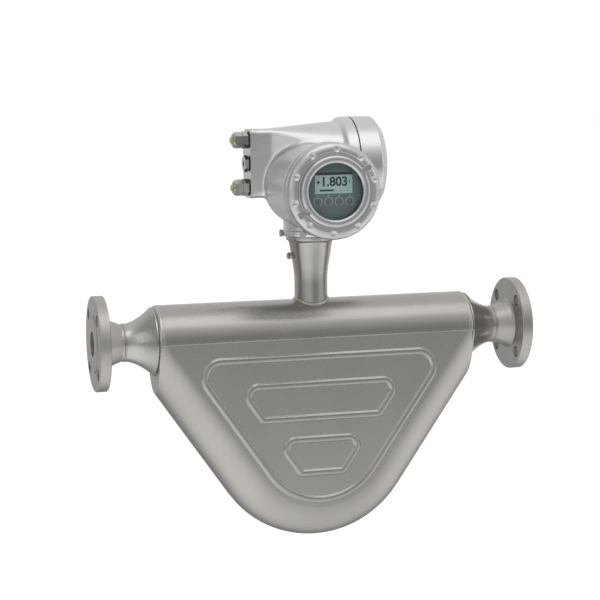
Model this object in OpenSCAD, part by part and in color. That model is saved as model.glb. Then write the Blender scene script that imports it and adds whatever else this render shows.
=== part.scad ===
// Dual-tube Coriolis flow meter, flanged, with a compact signal transmitter.
// X runs along the pipe from the inlet face (x = 0) to the outlet face, Z is up,
// and the display looks towards -Y. All sizes are in millimetres.

/* [Process connection] */
// Distance between the two flange faces
face_to_face = 720; // [700:1:760]
// Outside diameter of a flange
flange_od = 152.4; // [145:0.1:165]
// Thickness of the flange disc, without its raised face
flange_t = 17.5; // [14:0.5:24]
// Diameter of the raised sealing face
raised_d = 92.1; // [86:0.1:100]
// Height of the raised sealing face
raised_h = 1.6; // [1:0.1:3]
// Diameter of the circle through the flange bolt holes
bolt_circle = 120.65; // [116:0.05:125]
// Diameter of each flange bolt hole
bolt_hole_d = 19.05; // [14:0.05:20]
// Number of bolts in a flange
bolt_count = 4; // [4, 8]
// Bore of the flange
bore_d = 40; // [36:0.5:44]
// Outside diameter of the weld neck
neck_d = 60.3; // [56:0.1:64]
// Diameter of the hub where it meets the flange disc
hub_d = 77; // [70:0.5:84]
// Length from the flange face to the weld of its neck
flange_len = 49; // [44:0.5:54]

/* [Spar and reducers] */
// Outside diameter of the spar pipe
spar_d = 114.3; // [108:0.1:120]
// Wall of the spar pipe
spar_wall = 6; // [4:0.5:8]
// Length of a reducer between the flange neck and the end ring
reducer_len = 48.5; // [44:0.5:54]
// Wall of a reducer
reducer_wall = 6; // [5:0.5:8]
// Width of the turned groove beside the end ring
groove_w = 2.5; // [1.5:0.5:4]
// Depth of the turned groove below the reducer's lip
groove_h = 1.8; // [1:0.1:3]
// How far the reducer's lip stays inside the spar's surface
lip_in = 2.6; // [1.5:0.1:4]
// Length of the end ring
ring_len = 8; // [6:0.5:12]
// Radius of the end ring's rounded shoulder
ring_round = 5.5; // [3:0.5:6]

/* [Casing] */
// Sheet thickness of the pressed casing shells
casing_wall = 3; // [2:0.5:4]
// How far the casing's flat sides stand out beyond the spar pipe
casing_proud = 0.5; // [0.3:0.1:1]
// Distance from the centre to where the casing's edge line meets the pipe axis
edge_x = 250.8; // [246:0.2:256]
// Slope of the casing's lower sides, from horizontal
casing_slope = 55.5; // [52:0.5:58]
// Radius of the bottom bend, to the middle of the rounded edge
bottom_r = 115; // [100:1:125]

/* [Pressed beads] */
// Width of a bead at its foot
bead_w = 9.6; // [6:0.2:11]
// Height of a bead
bead_h = 2.4; // [1:0.1:3]
// Distance of the outer bead inside the casing's edge line
outer_bead_in = 12.2; // [8:0.2:18]
// Distance of the two inner beads inside the casing's edge line
inner_bead_in = 53.6; // [48:0.2:60]
// Drop of the outer bead's top run below the pipe axis
outer_bead_top = 30; // [26:1:34]
// Drop of the upper panel's top run
upper_bead_top = 74; // [70:1:80]
// Height of the upper panel
upper_bead_h = 55; // [48:1:60]
// Drop of the lower panel's top run
lower_bead_top = 164.5; // [160:0.5:170]
// Height of the lower panel
lower_bead_h = 55; // [48:1:60]

/* [Measuring tubes] */
// Outside diameter of a measuring tube
tube_d = 21; // [17:0.5:22]
// Wall of a measuring tube
tube_wall = 1.6; // [1:0.1:2.5]
// Distance between the two tubes
tube_gap_axis = 44; // [42:1:50]
// Distance from the centre to where a leg's line meets the pipe axis
leg_x = 205; // [200:1:212]
// Radius of the bends at the shoulders
tube_bend_r = 60; // [50:1:62]
// Radius of the bottom bend of the tubes
tube_bottom_r = 80; // [70:1:90]
// Width of the opening of each flow passage in the splitter
passage_d = 17; // [14:0.5:18]
// Depth of the splitter's nose inside the flange bore
splitter_depth = 14; // [10:1:20]
// Thickness of a brace plate
brace_t = 4; // [3:0.5:6]

/* [Stem] */
// Diameter of the stem's lower, straight part
stem_d = 53.6; // [50:0.2:57]
// Diameter of the stem at its top
stem_top_d = 71; // [66:0.5:74]
// Height above the pipe axis where the taper starts
taper_z = 99; // [92:1:106]
// Height above the pipe axis of the joint between stem and transmitter
joint_z = 160; // [154:1:166]
// Wall of the stem
stem_wall = 4; // [3:0.5:6]

/* [Transmitter housing] */
// Height of the display axis above the joint
display_rise = 80; // [78:1:84]
// Height of the terminal axis above the display axis
terminal_rise = 32; // [26:1:36]
// Distance of the terminal axis behind the stem
terminal_y = 45; // [40:1:50]
// Radius of the display barrel at its back
barrel_r = 67; // [65:0.5:69]
// Distance of the display seam in front of the stem
display_seam_y = 126; // [118:1:134]
// Radius of the display cover
display_r = 75.5; // [74:0.5:78]
// Distance of the terminal seam from the stem
terminal_seam_x = 78; // [74:1:82]
// Radius of the terminal cover
terminal_r = 77.5; // [76:0.5:80]
// Distance of the gland face from the stem
gland_face_x = 90; // [86:1:96]
// Height of the box that carries the glands
box_h = 112; // [106:1:118]
// Depth of the box that carries the glands
box_d = 52; // [48:1:58]
// Length of the box before it grows into the round compartment
box_run = 36; // [20:1:44]
// Height of the box's middle above the terminal axis
box_rise = 4; // [0:1:6]
// Length of the male threads that hold the covers
thread_len = 12; // [10:0.5:14]
// Wall of the housing around the display barrel
housing_wall = 7; // [6:0.5:9]

/* [Covers] */
// Radial clearance between a cover's thread and its housing
thread_gap = 0.3; // [0.2:0.05:0.5]
// Gap at the seam of the display cover
display_seam = 0.4; // [0.3:0.1:1]
// Gap at the seam of the terminal cover
terminal_seam = 1.2; // [0.6:0.1:2]
// Depth of the display cover
display_cover_h = 25.5; // [22:0.1:28]
// Radius of the display cover's rounded shoulder
shoulder_r = 9; // [5:0.5:10]
// Depth of the terminal cover
terminal_cover_h = 46.8; // [42:0.2:52]
// Radius of the window
window_r = 43.5; // [40:0.5:45]
// Thickness of the window glass
glass_t = 8; // [6:0.5:9]
// Number of dimples round each cover
dimple_count = 10; // [8:1:12]
// Diameter of a dimple
dimple_d = 7; // [5:0.5:8]
// Section diameter of the cover seals
oring_d = 2.6; // [2:0.1:3]

/* [Display] */
// Width of the liquid-crystal panel
lcd_w = 60; // [52:1:64]
// Height of the liquid-crystal panel
lcd_h = 33; // [28:1:36]
// Number of touch keys
key_count = 4; // [3:1:5]
// Diameter of a touch key
key_d = 12; // [9:0.5:13]
// Distance between touch keys
key_pitch = 17; // [14:0.5:18]

/* [Cable entries] */
// Distance between the two cable glands
gland_pitch = 77; // [72:1:82]
// Width across flats of a gland body
gland_af = 24; // [22:0.5:27]
// Length of a gland body's hexagon
gland_body_h = 9; // [7:0.5:11]
// Length of a gland's cap nut
gland_nut_h = 15; // [12:0.5:17]
// Diameter of the threads of the cable entries
entry_d = 20; // [18:0.5:22]
// Width across flats of the blind plug
plug_af = 24; // [20:0.5:26]

/* [Hidden] */
$fn = 96;
clear = 0.3;
seat = 0.1;
skin = 0.05;
bend_skin = 0.3;
skin_in = 0.3;
mid = face_to_face / 2;
spar_r = spar_d / 2;
edge_r = spar_r + casing_proud;
ring_x = flange_len + reducer_len;
spar_x = ring_x + ring_len;
tube_y = tube_gap_axis / 2;
slope_cos = cos(casing_slope);
slope_sin = sin(casing_slope);
// Distance of a sloping line from the centre of the pipe axis, for a line through a point
function line_of(x, z) = x * slope_sin - z * slope_cos;
// Where a sloping line at distance d crosses the height z
function line_x(d, z) = (d + z * slope_cos) / slope_sin;
edge_line = line_of(edge_x, 0);
bottom_z = (bottom_r - edge_line) / slope_cos;
stem_r = stem_d / 2;
collar_r = 47;
collar_h = 9;
spigot_r = 33;
spigot_h = 16;
display_z = joint_z + display_rise;
terminal_z = display_z + terminal_rise;
box_z = terminal_z + box_rise;
box_front_y = terminal_y - 14;
box_mid_y = box_front_y + box_d / 2;
gland_y = box_front_y + 17;
spigot_display_r = display_r - 6.5;
spigot_terminal_r = terminal_r - 6.5;
bore_display_r = barrel_r - housing_wall;
barrel_back_y = -20;
module_front = 7.5;
module_r = window_r + 3;
lcd_z = 13;
key_z = -17;
hex_k = 1 / cos(30);
steel = [0.66, 0.64, 0.61];
bright = [0.78, 0.77, 0.75];
cast = [0.74, 0.74, 0.73];
dark = [0.12, 0.13, 0.14];

// ---- helpers -------------------------------------------------------------

// Turns a shape drawn along +Z so that it runs along +X
module along_x() { rotate([0, 90, 0]) children(); }
// Turns a shape drawn along +Z so that it runs along -Y
module along_front() { rotate([90, 0, 0]) children(); }
// The outlet half is the mirror image of the inlet half
module at_outlet() { translate([face_to_face, 0, 0]) mirror([1, 0, 0]) children(); }
module tube(r, wall, h) {
    difference() {
        cylinder(r = r, h = h);
        translate([0, 0, -1]) cylinder(r = r - wall, h = h + 2);
    }
}
module ring(r_out, r_in, h) { tube(r_out, r_out - r_in, h); }
module torus(r, section_r) { rotate_extrude() translate([r, 0]) circle(r = section_r, $fn = 32); }
module hexagon(af, h) { cylinder(r = af / 2 * hex_k, h = h, $fn = 6); }

// ---- process connection --------------------------------------------------

// Outside radius of the reducer, a flared cone, at a distance x from the flange face
flare_len = reducer_len - groove_w;
lip_r = spar_r - lip_in;
function reducer_r(x) =
    let (t = (x - flange_len) / flare_len)
    t <= 0 ? neck_d / 2 :
    t >= 1 ? lip_r :
    neck_d / 2 + (lip_r - neck_d / 2) * pow(t, 1.75);
function reducer_bore_r(x) = max(bore_d / 2, reducer_r(x) - reducer_wall);
reducer_steps = [for (i = [0:14]) flange_len + flare_len * i / 14];

module weld_neck_flange() {
    color(bright) difference() {
        along_x() rotate_extrude() polygon([
            [bore_d / 2, 0], [raised_d / 2, 0], [raised_d / 2, raised_h],
            [flange_od / 2 - 1, raised_h], [flange_od / 2, raised_h + 1],
            [flange_od / 2, raised_h + flange_t - 1], [flange_od / 2 - 1, raised_h + flange_t],
            [hub_d / 2 + 3, raised_h + flange_t], [hub_d / 2, raised_h + flange_t + 3],
            [neck_d / 2 + 1.5, flange_len - 9], [neck_d / 2, flange_len - 5],
            [neck_d / 2, flange_len], [bore_d / 2, flange_len]
        ]);
        for (i = [0:bolt_count - 1])
            rotate([(i + 0.5) * 360 / bolt_count, 0, 0])
                translate([-1, 0, bolt_circle / 2])
                    along_x() cylinder(d = bolt_hole_d, h = flange_t + raised_h + 2);
    }
}
module reducer() {
    color(bright) along_x() rotate_extrude() polygon(concat(
        [for (x = reducer_steps) [reducer_r(x), x]],
        [[lip_r - groove_h, ring_x - groove_w + 0.4], [lip_r - groove_h, ring_x]],
        [[reducer_bore_r(ring_x), ring_x]],
        [for (i = [14:-1:0]) [reducer_bore_r(reducer_steps[i]), reducer_steps[i]]]
    ));
}
module end_ring() {
    color(bright) translate([ring_x, 0, 0]) along_x() rotate_extrude() polygon(concat(
        [[reducer_bore_r(ring_x), 0], [lip_r - groove_h, 0]],
        [for (a = [15:15:90]) [spar_r - ring_round * (1 - sin(a)), ring_round * (1 - cos(a))]],
        [[spar_r, ring_len], [reducer_bore_r(ring_x), ring_len]]
    ));
}
// Splits the flow into two passages that spread to the spacing of the measuring tubes
module splitter() {
    passage_y = passage_d / 2 + 1.1;
    spread = atan((tube_y - passage_y) / (spar_x - splitter_depth));
    color(steel) difference() {
        along_x() rotate_extrude() polygon(concat(
            [[0, splitter_depth], [bore_d / 2 - seat - 2, splitter_depth]],
            [[bore_d / 2 - seat, splitter_depth + 2], [bore_d / 2 - seat, flange_len]],
            [for (x = reducer_steps) [reducer_bore_r(x) - seat, x]],
            [[reducer_bore_r(ring_x) - seat, spar_x], [0, spar_x]]
        ));
        for (side = [-1, 1])
            translate([splitter_depth, side * passage_y, 0])
                rotate([0, 0, side * spread])
                    translate([-10, 0, 0])
                        along_x() cylinder(d = passage_d, h = spar_x + 20);
    }
}

// ---- spar pipe and casing ------------------------------------------------

slot_x = leg_x - spar_r / tan(casing_slope);
slot_half = 32;
module spar_pipe() {
    color(bright) difference() {
        translate([spar_x, 0, 0]) along_x() tube(spar_r, spar_wall, face_to_face - 2 * spar_x);
        for (side = [-1, 1])
            translate([mid + side * (slot_x + 8) - slot_half, -tube_y - tube_d / 2 - 4, -spar_r - 5])
                cube([2 * slot_half, tube_gap_axis + tube_d + 8, spar_r]);
        translate([mid, 0, 0]) cylinder(r = stem_r - stem_wall, h = spar_r + 10);
    }
}
// Section of the rounded edge: a quarter ring from the flat panel round to the middle seam.
// Bends are thinner by a skin on each side, so that they join the straight runs inside them.
module edge_section(skin, start) {
    intersection() {
        difference() {
            circle(r = edge_r - skin);
            circle(r = edge_r - casing_wall + skin);
        }
        translate([start, -edge_r - 1]) square([edge_r + 1, edge_r + 1 - skin]);
    }
}
// A bend of the edge about an axis along Y, from the angle of its first end
module edge_bend(r, first, angle) {
    rotate([90, 0, 0]) rotate(first - 1)
        rotate_extrude(angle = angle + 2)
            mirror([0, 1]) translate([r, 0]) edge_section(bend_skin, skin_in / 2);
}
tangent_x = bottom_r * slope_sin;
tangent_z = bottom_z - bottom_r * slope_cos;
end_x = mid - ring_x - 0.5;
floor_z = bottom_z - bottom_r - edge_r;
// A straight run of the edge, from the bottom bend up the slope
module edge_run() {
    translate([tangent_x, 0, tangent_z]) rotate([0, 90 - casing_slope, 0])
        linear_extrude(face_to_face) children();
}
// What lies below the pipe axis and inside the flat end of the casing
module end_space(thick) {
    translate([end_x - thick, -edge_r - 1, floor_z]) cube([thick, edge_r + 1, -floor_z]);
}
module casing_edge() {
    intersection() {
        edge_run() edge_section(0, skin_in);
        end_space(end_x);
    }
    intersection() {
        edge_run() intersection() {
            circle(r = edge_r - skin);
            translate([-edge_r, -edge_r]) square([2 * edge_r, edge_r]);
        }
        end_space(casing_wall);
    }
}
// Outline of the flat panel, in X and Z, which reaches a little way into the edge
module panel_outline(grow) {
    r = bottom_r + grow;
    x = line_x(edge_line + grow, 0);
    polygon([
        [-x, 0], [-r * slope_sin, bottom_z - r * slope_cos],
        [r * slope_sin, bottom_z - r * slope_cos], [x, 0]
    ]);
    intersection() {
        translate([0, bottom_z]) circle(r = r);
        translate([-r * slope_sin, bottom_z - 2 * r]) square([2 * r * slope_sin, 2 * r - r * slope_cos]);
    }
}
// A bead runs round a closed outline of corners [x, z, radius], straight between its bends
bead_sink = 0.5;
bead_top = bead_w / 3.1;
bead_foot = bead_w / 2 + bead_sink * (bead_w / 2 - bead_top) / bead_h;
module bead_section(skin) {
    polygon([
        [2 * skin - bead_foot, skin - bead_sink], [bead_foot - 2 * skin, skin - bead_sink],
        [bead_top - 2 * skin, bead_h - skin], [2 * skin - bead_top, bead_h - skin]
    ]);
}
function turn_angle(a, b, c) =
    let (u = [b[0] - a[0], b[1] - a[1]], v = [c[0] - b[0], c[1] - b[1]])
    atan2(u[0] * v[1] - u[1] * v[0], u[0] * v[0] + u[1] * v[1]);
function heading(a, b) = atan2(b[1] - a[1], b[0] - a[0]);
module bead_loop(corners) {
    n = len(corners);
    for (i = [0:n - 1]) {
        a = corners[(i + n - 1) % n];
        b = corners[i];
        c = corners[(i + 1) % n];
        d = corners[(i + 2) % n];
        turn = turn_angle(a, b, c);
        cut = b[2] * tan(turn / 2);
        cut_next = c[2] * tan(turn_angle(b, c, d) / 2);
        run = norm([c[0] - b[0], c[1] - b[1]]) - cut - cut_next;
        translate([b[0], b[1]]) rotate(heading(b, c)) translate([cut, 0])
            rotate([90, 0, 90]) linear_extrude(run) bead_section(0);
        translate([b[0], b[1]]) rotate(heading(a, b)) translate([-cut, b[2]])
            rotate(-91) rotate_extrude(angle = turn + 2) translate([b[2], 0]) bead_section(skin);
    }
}
// A closed outline between two heights, with sides parallel to the casing's edge
function panel_corners(inset, top, bottom, r_top, r_bottom) = [
    [line_x(edge_line - inset, -top), -top, r_top],
    [-line_x(edge_line - inset, -top), -top, r_top],
    [-line_x(edge_line - inset, -bottom), -bottom, r_bottom],
    [line_x(edge_line - inset, -bottom), -bottom, r_bottom]
];
outer_line = edge_line - outer_bead_in;
outer_corners = [
    [line_x(outer_line, -outer_bead_top), -outer_bead_top, 26.8],
    [-line_x(outer_line, -outer_bead_top), -outer_bead_top, 26.8],
    [0, -outer_line / slope_cos, bottom_r - outer_bead_in]
];
module beads() {
    bead_loop(outer_corners);
    bead_loop(panel_corners(inner_bead_in, upper_bead_top, upper_bead_top + upper_bead_h, 16, 7));
    bead_loop(panel_corners(inner_bead_in, lower_bead_top, lower_bead_top + lower_bead_h, 15, 7));
}
module casing_shell() {
    difference() {
        union() {
            casing_edge();
            mirror([1, 0, 0]) casing_edge();
            translate([0, 0, bottom_z]) edge_bend(bottom_r, -90 - casing_slope, 2 * casing_slope);
            translate([0, -edge_r + casing_wall - skin, 0]) rotate([90, 0, 0])
                linear_extrude(casing_wall - 2 * skin) panel_outline(2 * skin_in);
            translate([0, -edge_r, 0]) rotate([90, 0, 0]) beads();
        }
        translate([-face_to_face / 2, 0, 0]) along_x() cylinder(r = spar_r, h = face_to_face);
    }
}
module casing_front() { color(steel) translate([mid, 0, 0]) casing_shell(); }
module casing_back() { color(steel) translate([mid, 0, 0]) mirror([0, 1, 0]) casing_shell(); }

// ---- measuring tubes and their sensors -------------------------------------

tube_r = tube_d / 2;
leg_line = line_of(leg_x, 0);
tube_bottom_z = (tube_bottom_r - leg_line) / slope_cos;
bend_cut = tube_bend_r * tan(casing_slope / 2);
bend_x = leg_x + bend_cut;
tube_foot_x = tube_bottom_r * slope_sin;
tube_foot_z = tube_bottom_z - tube_bottom_r * slope_cos;
tube_leg = (leg_x - bend_cut * slope_cos - tube_foot_x) / slope_cos;
brace_x = mid - spar_x - 7;
module tube_section(skin) {
    difference() {
        circle(r = tube_r - skin);
        circle(r = tube_r - tube_wall + skin);
    }
}
module tube_bend(r, first, angle) {
    rotate([90, 0, 0]) rotate(first - 1)
        rotate_extrude(angle = angle + 2) translate([r, 0]) tube_section(skin);
}
module half_tube() {
    translate([bend_x, 0, 0]) along_x()
        linear_extrude(mid - spar_x - clear - bend_x) tube_section(0);
    translate([tube_foot_x, 0, tube_foot_z]) rotate([0, 90 - casing_slope, 0])
        linear_extrude(tube_leg) tube_section(0);
    translate([bend_x, 0, -tube_bend_r]) tube_bend(tube_bend_r, 90, casing_slope);
}
module measuring_tube() {
    color(bright) {
        half_tube();
        mirror([1, 0, 0]) half_tube();
        translate([0, 0, tube_bottom_z])
            tube_bend(tube_bottom_r, -90 - casing_slope, 2 * casing_slope);
    }
}
module measuring_tube_front() { translate([mid, -tube_y, 0]) measuring_tube(); }
module measuring_tube_back() { translate([mid, tube_y, 0]) measuring_tube(); }
// Ties the two tubes together where their swing starts
module brace_plate() {
    color(bright) translate([mid - brace_x - brace_t / 2, 0, 0]) along_x() difference() {
        cylinder(r = spar_r - spar_wall - clear, h = brace_t);
        for (side = [-1, 1])
            translate([0, side * tube_y, -1]) cylinder(r = tube_r + seat, h = brace_t + 2);
    }
}
// A coil stands on the front tube, and its magnet reaches into it from the back tube
sensor_half = tube_y - tube_r - clear;
module coil(r) {
    color([0.55, 0.33, 0.18]) translate([0, -sensor_half, 0]) rotate([-90, 0, 0]) difference() {
        union() {
            cylinder(r = r + 1.5, h = 2);
            cylinder(r = r, h = sensor_half - 2);
            translate([0, 0, sensor_half - 3.5]) cylinder(r = r + 1.5, h = 1.5);
        }
        translate([0, 0, 3]) cylinder(r = r - 3, h = sensor_half);
    }
}
module magnet(r) {
    color([0.35, 0.36, 0.38]) translate([0, sensor_half, 0]) rotate([90, 0, 0]) {
        cylinder(r = r, h = 3);
        cylinder(r = r - 5, h = sensor_half + 4);
    }
}
// Midway down the inlet leg, where a sensor reads the tubes' swing
sensor_x = tube_foot_x + tube_leg * slope_cos * 0.55;
sensor_z = tube_foot_z + tube_leg * slope_sin * 0.55;
drive_z = tube_bottom_z - tube_bottom_r;
module drive_coil() { translate([mid, 0, drive_z]) coil(10); }
module drive_magnet() { translate([mid, 0, drive_z]) magnet(10); }
module inlet_sensor_coil() { translate([mid - sensor_x, 0, sensor_z]) coil(8); }
module inlet_sensor_magnet() { translate([mid - sensor_x, 0, sensor_z]) magnet(8); }
module temperature_sensor() {
    color(dark) translate([mid - brace_x + brace_t / 2 + clear, -tube_y, tube_r + 2.6])
        along_x() cylinder(r = 2.5, h = 8);
}

// ---- stem ------------------------------------------------------------------

stem_top_r = stem_top_d / 2;
stem_flange_r = 40;
stem_flange_h = 6;
module stem_outline() {
    rotate_extrude() polygon([
        [0, 10], [stem_r, 10], [stem_r, taper_z], [stem_top_r, joint_z - stem_flange_h - 3],
        [stem_flange_r, joint_z - stem_flange_h], [stem_flange_r, joint_z],
        [spigot_r, joint_z], [spigot_r, joint_z + spigot_h - 1],
        [spigot_r - 1, joint_z + spigot_h], [0, joint_z + spigot_h]
    ]);
}
module stem() {
    color(steel) translate([mid, 0, 0]) difference() {
        stem_outline();
        cylinder(r = stem_r - stem_wall, h = joint_z + spigot_h + 1);
        translate([-stem_d, 0, 0]) along_x() cylinder(r = spar_r, h = 2 * stem_d);
    }
}
feedthrough_z = taper_z - 14;
module feedthrough() {
    color([0.25, 0.4, 0.42]) translate([mid, 0, feedthrough_z]) {
        difference() {
            cylinder(r = stem_r - stem_wall - seat, h = 8);
            for (a = [0:60:300]) rotate(a) translate([11, 0, -1]) cylinder(r = 1.1, h = 10);
        }
        for (a = [0:60:300]) rotate(a) translate([11, 0, -6]) cylinder(r = 1, h = 20);
    }
}
ground_z = 128;
module ground_terminal() {
    color(bright) difference() {
        translate([mid - stem_top_r - 4, 0, ground_z]) along_x() {
            hexagon(8, 3);
            translate([0, 0, 3]) cylinder(r = 6, h = 1.5);
            translate([0, 0, 4.5]) cylinder(r = 4.5, h = 8);
        }
        translate([mid, 0, 0]) scale(1.001) stem_outline();
    }
}
module collar_seal() {
    color(dark) translate([mid, 0, joint_z]) ring(stem_flange_r - 1, spigot_r + seat, 0.5);
}

// ---- transmitter housing -----------------------------------------------------

neck_z = joint_z + 0.8;
neck_r = 43.5;
module at_display() { translate([mid, 0, display_z]) along_front() children(); }
module at_terminal() { translate([mid, terminal_y, terminal_z]) along_x() children(); }
module at_entry(rise) {
    translate([mid - gland_face_x, gland_y, box_z + rise]) rotate([0, -90, 0]) children();
}
module display_barrel() {
    at_display() rotate_extrude() polygon([
        [0, -50], [barrel_r - 7, -50], [barrel_r - 2, -48], [barrel_r, -43], [barrel_r, -31],
        [barrel_r + 3.5, display_seam_y - 32], [barrel_r + 5, display_seam_y - 26],
        [display_r - 0.8, display_seam_y - 19], [display_r, display_seam_y - 17],
        [display_r, display_seam_y], [spigot_display_r, display_seam_y],
        [spigot_display_r, display_seam_y + thread_len - 1],
        [spigot_display_r - 1, display_seam_y + thread_len], [0, display_seam_y + thread_len]
    ]);
}
// The box with the cable entries grows into the round terminal compartment
box_corner_front = 7;
box_corner_back = 20;
loft_end_x = terminal_seam_x - 26;
// Section of the box, with its rounded corners, as a slab from a distance past the gland face
module box_slab(from, thick) {
    for (end = [-1, 1]) {
        translate([mid - gland_face_x + from, box_front_y + box_corner_front,
                box_z + end * (box_h / 2 - box_corner_front)])
            along_x() cylinder(r = box_corner_front, h = thick, $fn = 32);
        translate([mid - gland_face_x + from, box_front_y + box_d - box_corner_back,
                box_z + end * (box_h / 2 - box_corner_back)])
            along_x() cylinder(r = box_corner_back, h = thick, $fn = 32);
    }
}
module terminal_body() {
    hull() box_slab(0, box_run);
    hull() {
        box_slab(box_run - 1, 1);
        translate([mid + loft_end_x - 6, terminal_y, terminal_z])
            along_x() cylinder(r = terminal_r - 7.5, h = 6.5, $fn = 72);
    }
    at_terminal() rotate_extrude() polygon([
        [0, loft_end_x], [terminal_r - 7.4, loft_end_x], [terminal_r - 5, loft_end_x + 4],
        [terminal_r - 0.8, loft_end_x + 8], [terminal_r, loft_end_x + 10],
        [terminal_r, terminal_seam_x], [spigot_terminal_r, terminal_seam_x],
        [spigot_terminal_r, terminal_seam_x + thread_len - 1],
        [spigot_terminal_r - 1, terminal_seam_x + thread_len], [0, terminal_seam_x + thread_len]
    ]);
}
module neck() {
    translate([mid, 0, 0]) rotate_extrude() polygon([
        [0, neck_z], [collar_r - 1, neck_z], [collar_r, neck_z + 1],
        [collar_r, neck_z + collar_h - 1], [collar_r - 1, neck_z + collar_h],
        [neck_r + 1, neck_z + collar_h], [neck_r, neck_z + collar_h + 1],
        [neck_r, display_z], [0, display_z]
    ]);
}
screw_z = neck_z + collar_h / 2;
module collar_places() {
    translate([mid, 0, screw_z]) for (a = [0:60:300]) rotate(a) along_x() children();
}
cavity_wall = 7;
module housing_hollows() {
    at_display() translate([0, 0, -barrel_back_y])
        cylinder(r = bore_display_r, h = display_seam_y + thread_len + 20);
    translate([mid - gland_face_x + 10, box_front_y + cavity_wall, box_z - box_h / 2 + cavity_wall])
        cube([gland_face_x + 20, box_d - 2 * cavity_wall, box_h - 2 * cavity_wall]);
    at_terminal() translate([0, 0, loft_end_x - 27]) cylinder(r = terminal_r - 23.5, h = 40);
    at_terminal() translate([0, 0, loft_end_x + 4]) cylinder(r = terminal_r - 17.5, h = 60);
    for (rise = [-gland_pitch / 2, 0, gland_pitch / 2])
        at_entry(rise) translate([0, 0, -11]) cylinder(d = entry_d, h = 12);
    translate([mid, 0, joint_z - 1]) {
        cylinder(r = spigot_r + seat, h = spigot_h + 2);
        cylinder(r = spigot_r - 9, h = spigot_h + 4);
        translate([0, -26, 0]) cylinder(r = 9, h = 40);
    }
    translate([mid, box_front_y + cavity_wall + 1, terminal_z]) along_front()
        cylinder(r = 8, h = box_front_y + cavity_wall + 1);
    collar_places() cylinder(r = 3.1, h = collar_r + 5);
    at_display() rotate(lock_angle) translate([0, 0, display_seam_y - 8]) along_x()
        cylinder(r = 2.6, h = display_r + 5);
}
module transmitter_housing() {
    color(cast) difference() {
        union() {
            neck();
            display_barrel();
            terminal_body();
        }
        housing_hollows();
    }
}
module collar_screws() {
    color(bright) collar_places() {
        translate([0, 0, spigot_r + clear]) cylinder(r = 3, h = collar_r - spigot_r);
        translate([0, 0, collar_r + seat]) hexagon(10, 4);
    }
}
lock_angle = 236;
module cover_lock_screw() {
    color(bright) at_display() rotate(lock_angle) translate([0, 0, display_seam_y - 8]) along_x()
        difference() {
            translate([0, 0, bore_display_r + 3.5]) cylinder(r = 2.5, h = display_r - bore_display_r - 3.5);
            translate([0, 0, display_r - 3]) hexagon(2.5, 5);
        }
}

// ---- electronics ---------------------------------------------------------------

carrier_r = bore_display_r - clear;
carrier_front = display_seam_y - 14;
carrier_wall = 3;
module electronics_carrier() {
    color([0.2, 0.22, 0.24]) at_display() translate([0, 0, clear - barrel_back_y]) difference() {
        cylinder(r = carrier_r, h = carrier_front + barrel_back_y - clear);
        translate([0, 0, carrier_wall + 1]) cylinder(r = carrier_r - carrier_wall, h = display_seam_y);
    }
}
board_t = 1.6;
board_r = carrier_r - carrier_wall - clear;
board_pitch = carrier_front / 4.6;
chip = board_r * 0.36;
module circuit_boards() {
    color([0.1, 0.35, 0.2]) at_display() for (i = [1:3]) translate([0, 0, board_pitch * (i + 0.4)]) {
        cylinder(r = board_r, h = board_t);
        for (j = [-1, 1])
            translate([chip * (j - 0.5), chip * (i - 2) / 2 - chip / 2, board_t])
                cube([chip * 0.9, chip * 1.1, board_pitch * (j + 3) / 10]);
    }
}
module lcd_place(grow, depth) {
    translate([-lcd_w / 2 - grow, lcd_z - lcd_h / 2 - grow, -depth])
        cube([lcd_w + 2 * grow, lcd_h + 2 * grow, depth + 1]);
}
module key_places() {
    for (i = [0:key_count - 1])
        translate([(i - (key_count - 1) / 2) * key_pitch, key_z, 0]) children();
}
module at_module() {
    at_display() translate([0, 0, display_seam_y + module_front]) children();
}
lcd_depth = 2.5;
base_h = 6;
module_h = display_seam_y + module_front - carrier_front - base_h / 2;
module display_module() {
    color([0.22, 0.29, 0.31]) difference() {
        union() {
            at_display() translate([0, 0, carrier_front]) cylinder(r = carrier_r, h = base_h);
            at_module() translate([0, 0, -module_h]) cylinder(r = module_r, h = module_h);
        }
        at_module() lcd_place(seat, lcd_depth);
        at_module() key_places() translate([0, 0, -1.5]) cylinder(d = key_d + 2 * seat, h = 3);
    }
}
module lcd_panel() {
    color([0.66, 0.8, 0.8]) at_module() intersection() {
        lcd_place(0, lcd_depth - seat);
        translate([0, 0, -5]) cylinder(r = module_r, h = 4.8);
    }
}
module touch_keys() {
    color([0.3, 0.4, 0.43]) at_module() key_places()
        translate([0, 0, -1.4]) cylinder(d = key_d, h = 1.2);
}

// ---- display cover -----------------------------------------------------------

// Groove for a seal in a cover's rim, round the cover's bore
module oring_groove(bore_r) {
    rotate_extrude() translate([bore_r + 3, 0]) square([oring_d + 1, 2 * oring_d], center = true);
}
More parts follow.
